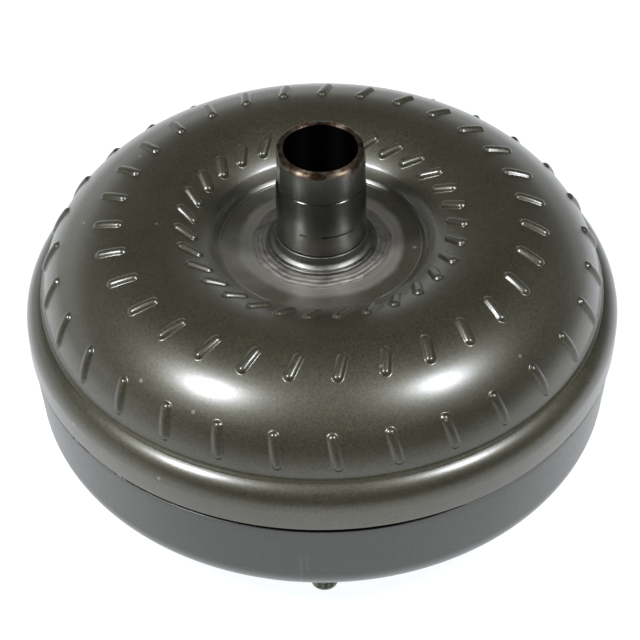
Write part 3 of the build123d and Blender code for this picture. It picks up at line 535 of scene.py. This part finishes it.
def shell_outline():
    inner_flat = PLATE_Z - SHELL_T
    flat_in = TORUS_R - sqrt(SHELL_IN_R**2 - (inner_flat - DOME_Z) ** 2)
    exit_r = TORUS_R + sqrt(SHELL_IN_R**2 - (LEDGE_Z - DOME_Z) ** 2)
    start = degrees(atan2(LEDGE_Z - DOME_Z, exit_r - TORUS_R))
    end = degrees(atan2(inner_flat - DOME_Z, flat_in - TORUS_R))
    plate = rounded(
        [
            (FOOT_R, inner_flat, 0),
            (FOOT_R, PLATE_Z, 0),
            (46.0, PLATE_Z, 0),
            (53.2, PLATE_Z, 0.5),
            (54.0, PLATE_Z + 0.55, 0.3),
            (55.0, PLATE_Z - 0.8, 0.6),
            (57.0, PLATE_Z + 1.2, 2.5),
            (RAMP_R, RAMP_Z, 0),
        ],
        closed=False,
    )[:-1]
    foot = section_point(SPARE + OUTER_R * radians(OUTER_TURN))
    ledge = rounded(
        [
            (*foot, 0),
            (150.35, 97.3, 3.0),
            (LEDGE_IN[0] + 0.1, LEDGE_IN[1] - 0.25, 0.35),
            (LEDGE_IN[0] + 0.2, LEDGE_IN[1] - 1.15, 0.2),
            (LEDGE_IN[0] + 0.62, LEDGE_IN[1] - 1.05, 0.15),
        ],
        closed=False,
    )[:-1]
    shoulder = arc((SKIRT_R - SHOULDER_R, SHOULDER_Z), SHOULDER_R, SHOULDER_TURN + 3, 0, 26)
    skirt = rounded(
        [
            (SKIRT_R, SHOULDER_Z, 0),
            (SKIRT_R - 0.1, 72.0, 0),
            (SKIRT_R - 0.2, SEAM_Z, 0.35),
            (LIP_R + 0.1, SEAM_Z, 0),
            (LIP_R + 0.1, LEDGE_Z, 0),
        ],
        closed=False,
    )
    bore_painted_shade = arc((TORUS_R, DOME_Z), SHELL_IN_R, start, end, 30)
    return np.concatenate([plate, dome_rows(), ledge, shoulder, skirt, bore_painted_shade])


impeller_shell = lathe(
    "impeller_shell_formed", shell_outline(), BLADES * 56, "housing",
    ["impeller_shell"], dome_bumps, PAINT,
)
smooth_by_angle(impeller_shell, 50)

# ---- impeller hub: neck, flange and weld ----
SCRIBE_Z = 166.0
RIM_R = 1.9               # rounding of the neck's top edge


def neck_flats(r, a, z):
    """Cuts the two pump-drive flats into the top of the neck."""
    x, y = r * np.cos(a - FLAT_TURN), r * np.sin(a - FLAT_TURN)
    outside = (z > FLAT_Z + 0.01) & (r > HUB_BORE_R + 1)
    x = np.where(outside, np.clip(x, -FLAT_DIST, FLAT_DIST), x)
    return np.hypot(x, y), np.arctan2(y, x) + FLAT_TURN, z


def neck_outline():
    low_part = rounded(
        [
            (HUB_BORE_R, HUB_FLANGE_Z, 0.3),
            (SPIGOT_R, HUB_FLANGE_Z, 0.3),
            (SPIGOT_R, NECK_FOOT_Z + 0.6, 0),
            (JOURNAL_R, NECK_FOOT_Z + 0.6, 0.3),
            (JOURNAL_R, FLAT_Z, 0),
        ],
        closed=False,
    )
    top = rounded(
        [
            (JOURNAL_R, FLAT_Z + 0.02, 0),
            (JOURNAL_R, SCRIBE_Z - 0.35, 0),
            (JOURNAL_R - 0.35, SCRIBE_Z, 0),
            (JOURNAL_R, SCRIBE_Z + 0.35, 0),
            (JOURNAL_R, HUB_TOP_Z, RIM_R),
            (HUB_BORE_R, HUB_TOP_Z, 0.6),
            (HUB_BORE_R, HUB_TOP_Z - 3, 0),
        ],
        closed=False,
    )
    return np.concatenate([low_part, top])


neck = lathe(
    "impeller_hub_ground", neck_outline(), 720, "housing",
    ["impeller_hub"], neck_flats, JOURNAL,
)
smooth_by_angle(neck, 30)

flange_outline = rounded(
    [
        (SPIGOT_R, HUB_FLANGE_Z, 0.3),
        (HUB_FLANGE_R, HUB_FLANGE_Z, 0.6),
        (HUB_FLANGE_R, PLATE_Z - SHELL_T, 0.4),
        (FOOT_R, PLATE_Z - SHELL_T, 0),
        (FOOT_R, PLATE_Z + 3.3, 0.9),
        (FOOT_R - 2.4, PLATE_Z + 3.5, 0.9),
        (JOURNAL_R + 1.0, PLATE_Z + 5.4, 2.2),
        (JOURNAL_R + 0.8, NECK_FOOT_Z - 0.9, 0.0),
        (JOURNAL_R + 0.8, NECK_FOOT_Z, 0.5),
        (SPIGOT_R, NECK_FOOT_Z, 0),
    ]
)
flange = lathe(
    "hub_flange_turned", flange_outline, 360, "housing", ["hub_flange"], None, FOOT
)
smooth_by_angle(flange, 35)

WELD_R = FOOT_R + 7.6


def weld_ripples(r, a, z):
    """Uneven top of the hub weld: low rings and the ripples left by each pass."""
    on_top = z > PLATE_Z + 0.02
    share = np.clip((r - FOOT_R) / (WELD_R - FOOT_R), 0, 1)
    rings = 0.10 * np.sin(share * 3.2 * tau + 0.5 * np.sin(3 * a))
    ripples = 0.025 * np.sin(97 * a + 2 * np.sin(5 * a)) + 0.05 * np.sin(23 * a + share * 7)
    edge = 0.6 * np.sin(3 * a + 1) * share + 0.35 * np.sin(11 * a) * share
    lift = np.where(on_top, (rings + ripples) * np.sin(pi * np.clip(share, 0.02, 1)) ** 0.5, 0)
    return r + np.where(share > 0.02, edge, 0), a, z + lift


weld_top = [(FOOT_R + (WELD_R - FOOT_R) * t, PLATE_Z + 1.9 * (1 - t**1.6)) for t in np.linspace(0, 1, 40)]
lathe(
    "hub_weld_bead", weld_top + [(WELD_R - 0.2, PLATE_Z - 0.2), (FOOT_R, PLATE_Z - 0.2)], 900, "housing",
    ["hub_weld"], weld_ripples, WELD,
)

# ---- front cover, seam and pilot ----
SEAM_GAP = 3.0            # height of the groove between skirt and cover where it is open
SEAM_FLUSH_R = COVER_TOP_R + 0.7
SEAM_DEPTH_R = LIP_R + 0.3
SEAM_SEGMENTS = 1440


def seam_open(a):
    """How far the groove is open round the axis: 1 is fully, 0 is painted shut."""
    turn = np.degrees(a) % 360
    front = smoothstep(225, 231, turn) * (1 - smoothstep(312, 321, turn))
    front = front * (1 - 0.45 * smoothstep(285, 300, turn))
    wedge = smoothstep(214.5, 217, turn) * (1 - smoothstep(220, 223, turn))
    hairline = 0.45 * smoothstep(220, 223, turn) * (1 - smoothstep(226, 229, turn))
    dashes = 0.9 * np.exp(-(((turn - 322.5) / 1.5) ** 4)) + 0.8 * np.exp(-(((turn - 337) / 1.1) ** 4))
    back = (np.sin(turn / 9) > -0.3) * smoothstep(2, 14, turn) * (1 - smoothstep(140, 165, turn))
    return np.clip(np.maximum.reduce([front, wedge, hairline, dashes, 0.8 * back]), 0, 1)


def cover_outline():
    inside_r = COVER_CORNER_R - COVER_T
    wall_in = COVER_LOW_R - COVER_T
    centre = (COVER_LOW_R - COVER_CORNER_R, COVER_Z + COVER_CORNER_R)
    wall = rounded(
        [
            (COVER_LOW_R, centre[1], 0),
            (COVER_TOP_R, SEAM_Z - SEAM_GAP - 4, 0),
            (COVER_TOP_R + 0.1, SEAM_Z - SEAM_GAP, 0.45),
            (LIP_R, SEAM_Z - SEAM_GAP, 0),
            (LIP_R, LEDGE_Z - 0.3, 0.3),
            (wall_in, LEDGE_Z - 0.3, 0.3),
            (wall_in, centre[1], 0),
        ],
        closed=False,
    )
    floor = [(r, COVER_Z + COVER_T) for r in (centre[0], 100.0, 60.0, 0.0)]
    face = [(r, COVER_Z) for r in (0.0, 60.0, 100.0)]
    corner, inner_corner = arc(centre, COVER_CORNER_R, -90, 0, 40), arc(centre, inside_r, 0, -90, 24)
    return np.concatenate([corner, wall, inner_corner, floor, face])


def cover_rim(r, a, z):
    """Lifts the cover's rim up to the skirt where the groove is painted shut."""
    rim = (r > LIP_R + 0.5) & (z > SEAM_Z - SEAM_GAP - 1.2)
    return r, a, np.where(rim, z + (1 - seam_open(a)) * (SEAM_GAP - 0.15), z)


cover = lathe(
    "front_cover_drawn", cover_outline(), SEAM_SEGMENTS, "housing",
    ["front_cover"], cover_rim, COVER,
)
smooth_by_angle(cover, 40)


def seam_filler(r, a, z):
    outer = SEAM_DEPTH_R + (SEAM_FLUSH_R - SEAM_DEPTH_R) * smoothstep(0.0, 0.5, 1 - seam_open(a)) ** 2
    return np.where(r > LIP_R + 0.1, outer, r), a, z


seam_rows = [(SEAM_DEPTH_R, z) for z in (SEAM_Z - SEAM_GAP - 0.1, SEAM_Z - SEAM_GAP / 2, SEAM_Z + 0.05)]
lathe(
    "closure_weld_bead",
    [(LIP_R, SEAM_Z - SEAM_GAP - 0.1)] + seam_rows + [(LIP_R, SEAM_Z + 0.05)],
    SEAM_SEGMENTS, "housing", ["closure_weld"], seam_filler, GROOVE,
)

edge_r = PILOT_R + PILOT_RIM
pilot = lathe(
    "crank_pilot_turned",
    rounded(
        [
            (0, COVER_Z, 0),
            (edge_r, COVER_Z, 0),
            (edge_r, COVER_Z - 2.2, 0.4),
            (PILOT_R, COVER_Z - 2.2, 0.8),
            (PILOT_R, PILOT_Z, 1.5),
            (PILOT_R - 7.0, PILOT_Z, 0.8),
            (PILOT_R - 8.5, COVER_Z - 4.0, 1.5),
            (0, COVER_Z - 4.0, 0),
        ]
    ),
    180, "housing", ["crank_pilot"], None, TURNED,
)
smooth_by_angle(pilot)


def pilot_ripples(r, a, z):
    bead = np.abs(z - COVER_Z) > 0.05
    return np.where(bead, r + 0.12 * np.sin(90 * a), r), a, z


pilot_bead = [
    (edge_r, COVER_Z),
    (edge_r + 2.4, COVER_Z),
    (edge_r + 1.8, COVER_Z - 0.9),
    (edge_r + 0.9, COVER_Z - 1.8),
    (edge_r, COVER_Z - 2.0),
]
lathe(
    "pilot_weld_bead", pilot_bead, 720, "housing", ["pilot_weld"], pilot_ripples, WELD,
)

# ---- flexplate studs ----
THREAD_DEPTH = 0.62


def stud_thread(r, a, z):
    """Rolled thread, running out at the end and at the seat."""
    wave = np.abs(((z / STUD_PITCH - a / tau) % 1) * 2 - 1)
    depth = THREAD_DEPTH * smoothstep(0.9, 2.2, z) * (1 - smoothstep(STUD_SEAT_Z - 1.6, STUD_SEAT_Z - 0.8, z))
    on_thread = (r > STUD_R - 0.05) & (r < STUD_R + 0.05)
    return np.where(on_thread, r - depth * wave, r), a, z


thread_rows = [(STUD_R, z) for z in np.linspace(1.0, STUD_SEAT_Z, 74)]
stud_outline = [(0, 0), (STUD_R - 1.0, 0)] + thread_rows + [
    (STUD_SEAT_R - 0.4, STUD_SEAT_Z), (STUD_SEAT_R, STUD_SEAT_Z + 0.4), (STUD_SEAT_R, COVER_Z), (0, COVER_Z)
]
stud_spots = [(STUD_CIRCLE_R * cos(k * pi / 2), STUD_CIRCLE_R * sin(k * pi / 2)) for k in range(4)]
studs = lathe(
    "flexplate_studs_threaded", stud_outline, 64, "housing", ["flexplate_studs"],
    stud_thread, STUD, stud_spots,
)
smooth_by_angle(studs, 45)

# ---- damper springs ----
WIRE_R = 1.45
COIL_TURNS = 13
WIRE_SIDES = 10
SPRING_SLACK = 1.0        # from the coil's outside to the space that the spring is given
SPRING_LEAN = 0.9         # how far the springs sit outwards in their windows


def damper_springs():
    """Coil springs bent along the damper's circle, with closed ends."""
    steps = COIL_TURNS * 28
    share = np.linspace(0, 1, steps + 1)
    wind = share * COIL_TURNS * tau
    coil_r = SPRING_R - WIRE_R - SPRING_SLACK
    closed = 0.5 - 0.5 * np.cos(pi * np.clip(share * 1.12 - 0.06, 0, 1))
    reach = SPRING_ARC - 2.4 * WIRE_R / SPRING_CIRCLE_R
    along = (0.25 * closed + 0.75 * np.clip(share * 1.12 - 0.06, 0, 1) - 0.5) * reach
    radius = SPRING_CIRCLE_R + SPRING_LEAN + coil_r * np.cos(wind)
    centre = np.stack([radius * np.cos(along), radius * np.sin(along), SPRING_Z + coil_r * np.sin(wind)], -1)
    tangent = np.gradient(centre, axis=0)
    tangent /= np.linalg.norm(tangent, axis=1)[:, None]
    outward = np.stack([np.cos(wind) * np.cos(along), np.cos(wind) * np.sin(along), np.sin(wind)], -1)
    painted_left_light = np.cross(tangent, outward)
    painted_left_light /= np.linalg.norm(painted_left_light, axis=1)[:, None]
    up = np.cross(painted_left_light, tangent)
    turn = np.arange(WIRE_SIDES) * tau / WIRE_SIDES
    ring = up[:, None] * np.cos(turn)[None, :, None] + painted_left_light[:, None] * np.sin(turn)[None, :, None]
    one = (centre[:, None] + ring * WIRE_R).reshape(-1, 3)
    quads = grid_faces(steps + 1, WIRE_SIDES, close_rows=False).tolist()
    caps = [list(range(WIRE_SIDES)), list(range(steps * WIRE_SIDES, (steps + 1) * WIRE_SIDES))]
    for k in range(SPRING_COUNT):
        turned = Matrix.Rotation(k * tau / SPRING_COUNT, 3, "Z")
        points = (one @ np.array(turned).T * MM).tolist()
        name = f"damper_spring_{k + 1}_wound"
        piece = new_object(name, points, quads + caps, "damper", ["damper_springs"])
        tidy_mesh(piece, SPRING)
        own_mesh(piece)


damper_springs()

# ---- finishes of the CAD nodes that stay ----
BEARING_PARTS = ("outer_race", "inner_race", "cage", "needles")
FINISHES = {
    SHEET: ["impeller_blades", "impeller_core_ring", "turbine_shell", "turbine_blades", "turbine_core_ring"],
    TURNED: ["turbine_hub", "turbine_rivets", "lockup_piston", "piston_seal_ring", "stator_inner_race"],
    DAMPER: ["damper_driven_plate", "damper_front_plate", "damper_rear_plate", "damper_spacers"],
    BEARING: ["clutch_cam_race", "clutch_rollers", "stator_snap_rings"]
    + [f"{end}_bearing_{part}" for end in ("rear", "front") for part in BEARING_PARTS],
    SPRING: ["clutch_springs"],
    ALLOY: ["stator_wheel", "stator_end_caps"],
    LINING: ["friction_lining"],
    POLYMER: ["front_thrust_washer"],
}
for material, names in FINISHES.items():
    for name in names:
        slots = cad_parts[name].data.materials
        if not slots:
            slots.append(material)
        for index in range(len(slots)):
            slots[index] = material

# ---- camera, floor and light ----
CAMERA_PLACE = Vector((0, -0.868, 0.8757))
PITCH, YAW, ROLL = 43.09, 0.079, -0.59
LENS = 121.1
FLOOR_HALF = 12.0
GLOW_CENTRE_Y = 300.0     # middle of the floor's painted pool of light, in mm
GLOW_SCALE = 0.0005       # turns mm into the ramp's 0 to 1
LAMP_TINT = (0.90, 0.94, 1.0)
LAMP_TARGET = Vector((0, 0, 0.12))
LAMP_DISTANCE = 3.0


def add_camera():
    data = bpy.data.cameras.new("camera")
    data.lens, data.sensor_width = LENS, 36.0
    data.clip_end = 50
    camera = bpy.data.objects.new("camera", data)
    camera.location = CAMERA_PLACE
    aim = Euler((radians(90 - PITCH), 0, radians(YAW))).to_matrix()
    camera.rotation_euler = (aim @ Matrix.Rotation(radians(ROLL), 3, "Z")).to_euler()
    bpy.context.scene.collection.objects.link(camera)
    bpy.context.scene.camera = camera


def add_floor():
    mesh = bpy.data.meshes.new("floor")
    corners = [(x * FLOOR_HALF, y * FLOOR_HALF, 0) for x, y in ((-1, -1), (1, -1), (1, 1), (-1, 1))]
    mesh.from_pydata(corners, [], [(0, 1, 2, 3)])
    floor = bpy.data.objects.new("floor", mesh)
    bpy.context.scene.collection.objects.link(floor)
    m = Nodes("floor_paper_painted_glow", 0.0, 0.9)
    m.shader.inputs["Base Color"].default_value = (0.12, 0.12, 0.12, 1)
    m.radius()
    back = m.math("SUBTRACT", m.y, GLOW_CENTRE_Y)
    away = m.math("POWER", m.math("ADD", m.math("MULTIPLY", m.x, m.x), m.math("MULTIPLY", back, back)), 0.5)
    # Painted light: the floor glows by its own emission, brightest in a pool round the object and dimmer
    # further out.
    fade = [(0.345, (0.94, 0.97, 1.0)), (0.50, (0.34, 0.35, 0.36))]
    glow = m.ramp(m.math("MULTIPLY", away, GLOW_SCALE), fade)
    m.link(glow, m.shader.inputs["Emission Color"])
    m.shader.inputs["Emission Strength"].default_value = 1.0
    mesh.materials.append(m.material)


def add_light(name, direction, size, power):
    data = bpy.data.lights.new(name, "AREA")
    data.shape = "RECTANGLE"
    data.size, data.size_y = size
    data.energy = power
    data.color = LAMP_TINT
    lamp = bpy.data.objects.new(name, data)
    direction = Vector(direction).normalized()
    lamp.location = LAMP_TARGET + direction * LAMP_DISTANCE
    lamp.rotation_euler = direction.to_track_quat("Z", "Y").to_euler()
    bpy.context.scene.collection.objects.link(lamp)


def add_world():
    """Dark studio with a pale backdrop low down behind the object."""
    world = bpy.data.worlds.new("studio")
    world.use_nodes = True
    tree = world.node_tree
    place = tree.nodes.new("ShaderNodeTexCoord")
    slope = tree.nodes.new("ShaderNodeVectorMath")
    slope.operation = "DOT_PRODUCT"
    slope.inputs[1].default_value = (0.14, -0.22, 1)
    ramp = tree.nodes.new("ShaderNodeValToRGB")
    ramp.color_ramp.interpolation = "EASE"
    stops = [(0.0, 0.95), (0.10, 0.16), (0.36, 0.07), (0.65, 0.02), (0.95, 0.06)]
    while len(ramp.color_ramp.elements) < len(stops):
        ramp.color_ramp.elements.new(0.5)
    for element, (spot, level) in zip(ramp.color_ramp.elements, stops):
        element.position = spot
        element.color = (level * 0.96, level * 0.98, level, 1)
    tree.links.new(place.outputs["Generated"], slope.inputs[0])
    tree.links.new(slope.outputs["Value"], ramp.inputs["Fac"])
    tree.links.new(ramp.outputs["Color"], tree.nodes["Background"].inputs["Color"])
    bpy.context.scene.world = world


add_camera()
add_floor()
add_world()
add_light("left_softbox", (-0.52, -0.30, 0.80), (0.42, 0.62), 92)
add_light("right_softbox", (0.53, -0.25, 0.80), (0.40, 0.56), 70)
bpy.context.scene.view_settings.view_transform = "Standard"
